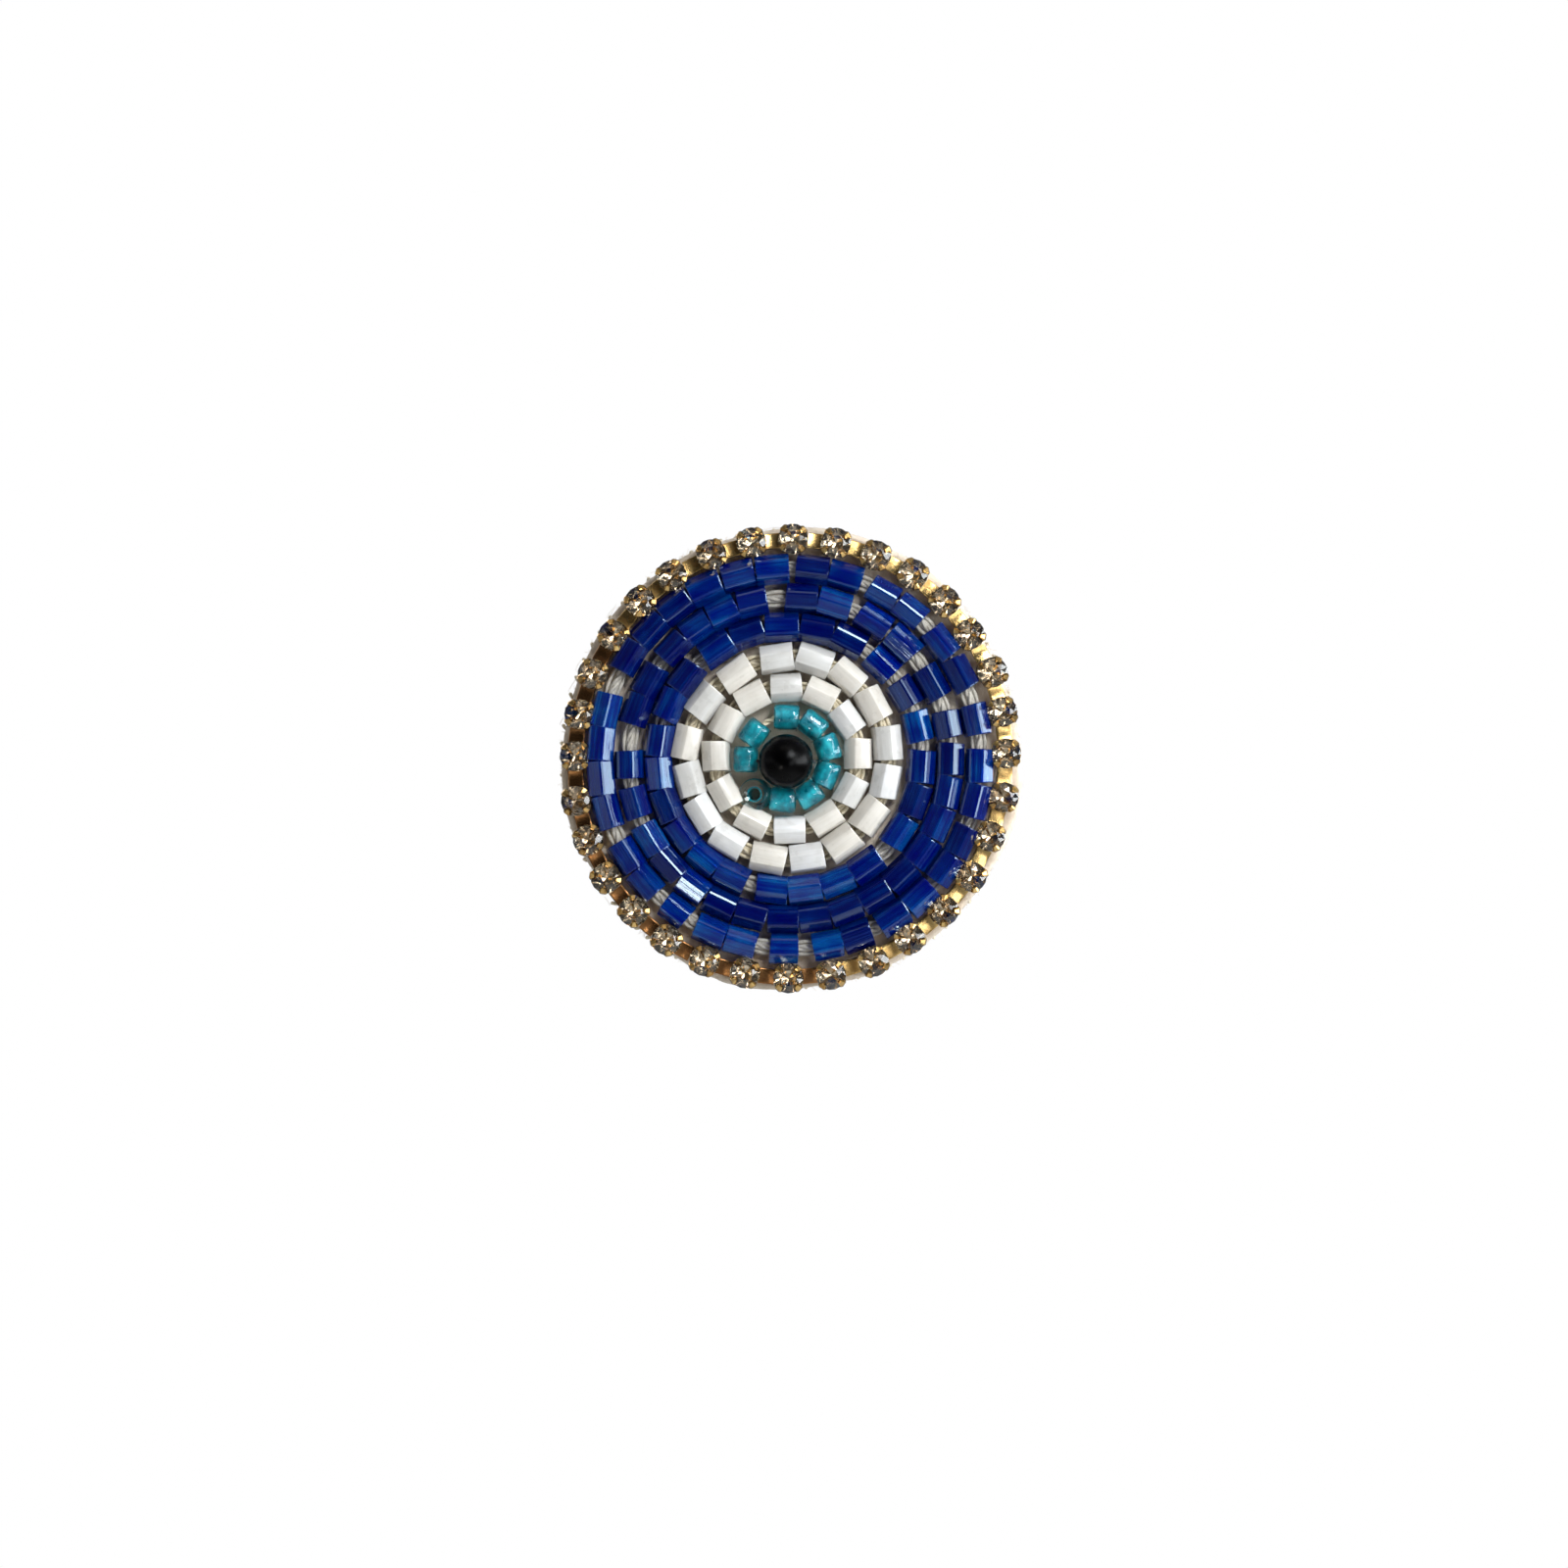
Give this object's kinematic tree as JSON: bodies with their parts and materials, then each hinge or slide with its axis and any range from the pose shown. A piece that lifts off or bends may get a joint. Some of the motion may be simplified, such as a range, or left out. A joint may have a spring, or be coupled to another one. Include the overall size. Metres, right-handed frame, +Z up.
{
  "type": "evil eye ornament",
  "caption": "Round bead-embroidered evil eye brooch: rings of cut beads round a black pupil on felt, rhinestone cup-chain rim, leather back, bar pin with rotating safety catch.",
  "frame": {"origin": "centre of the leather back's outer face, where the brooch lies against cloth", "axes": "+Y out of the back, so the face looks along -Y; +Z up as worn; +X to the viewer's right"},
  "size_m": [0.0318, 0.0119, 0.0318],
  "materials": {
    "felt": "wool felt, cream",
    "stiffener": "matt card-like board",
    "leather": "fine grain, dark tan",
    "steel": "nickel-plated steel",
    "gold": "gold-plated brass",
    "crystal": "foil-backed faceted glass, clear to champagne",
    "blue_glass": "transparent dark blue, polished facets",
    "white_glass": "opaque white, soft lustre",
    "teal_glass": "clear glass with a teal lining",
    "black_glass": "opaque black, polished",
    "thread": "twisted sewing thread, tan"
  },
  "bodies": {
    "ornament": {"white_outer_01": "white_glass", "white_outer_02": "white_glass", "white_outer_03": "white_glass", "white_outer_04": "white_glass", "white_outer_05": "white_glass", "white_outer_06": "white_glass", "white_outer_07": "white_glass", "white_outer_08": "white_glass", "white_outer_09": "white_glass", "white_outer_10": "white_glass", "white_outer_11": "white_glass", "white_outer_12": "white_glass", "white_outer_13": "white_glass", "white_outer_14": "white_glass", "white_outer_15": "white_glass", "white_outer_16": "white_glass", "white_inner_01": "white_glass", "white_inner_02": "white_glass", "white_inner_03": "white_glass", "white_inner_04": "white_glass", "white_inner_05": "white_glass", "white_inner_06": "white_glass", "white_inner_07": "white_glass", "white_inner_08": "white_glass", "white_inner_09": "white_glass", "white_inner_10": "white_glass", "white_inner_11": "white_glass", "white_inner_12": "white_glass", "teal_bead_01": "teal_glass", "teal_bead_02": "teal_glass", "teal_bead_03": "teal_glass", "teal_bead_04": "teal_glass", "teal_bead_05": "teal_glass", "teal_bead_06": "teal_glass", "teal_bead_07": "teal_glass", "teal_bead_08": "teal_glass", "teal_bead_09": "teal_glass", "blue_row_outer": "blue_glass", "blue_row_middle": "blue_glass", "blue_row_inner": "blue_glass", "white_outer_thread": "thread", "white_inner_thread": "thread", "teal_thread": "thread", "pupil_thread": "thread", "pupil_bead": "black_glass", "cup_chain": "gold", "felt_base": "felt", "stiffener_disc": "stiffener", "leather_back": "leather", "pin_bar": "steel", "hinge_rivet": "steel"},
    "pin_stem": {"pin_stem": "steel"},
    "safety_catch": {"safety_catch": "steel"}
  },
  "joints": [
    {"name": "pin_stem_hinge", "type": "hinge", "parent": "ornament", "child": "pin_stem", "pos_m": [-0.009, 0.00335, 0.005], "axis": [0, 0, 1], "range_deg": [0, 80]},
    {"name": "safety_catch_turn", "type": "hinge", "parent": "ornament", "child": "safety_catch", "pos_m": [0.0091, 0.00335, 0.005], "axis": [1, 0, 0], "range_deg": [0, 100]}
  ]
}
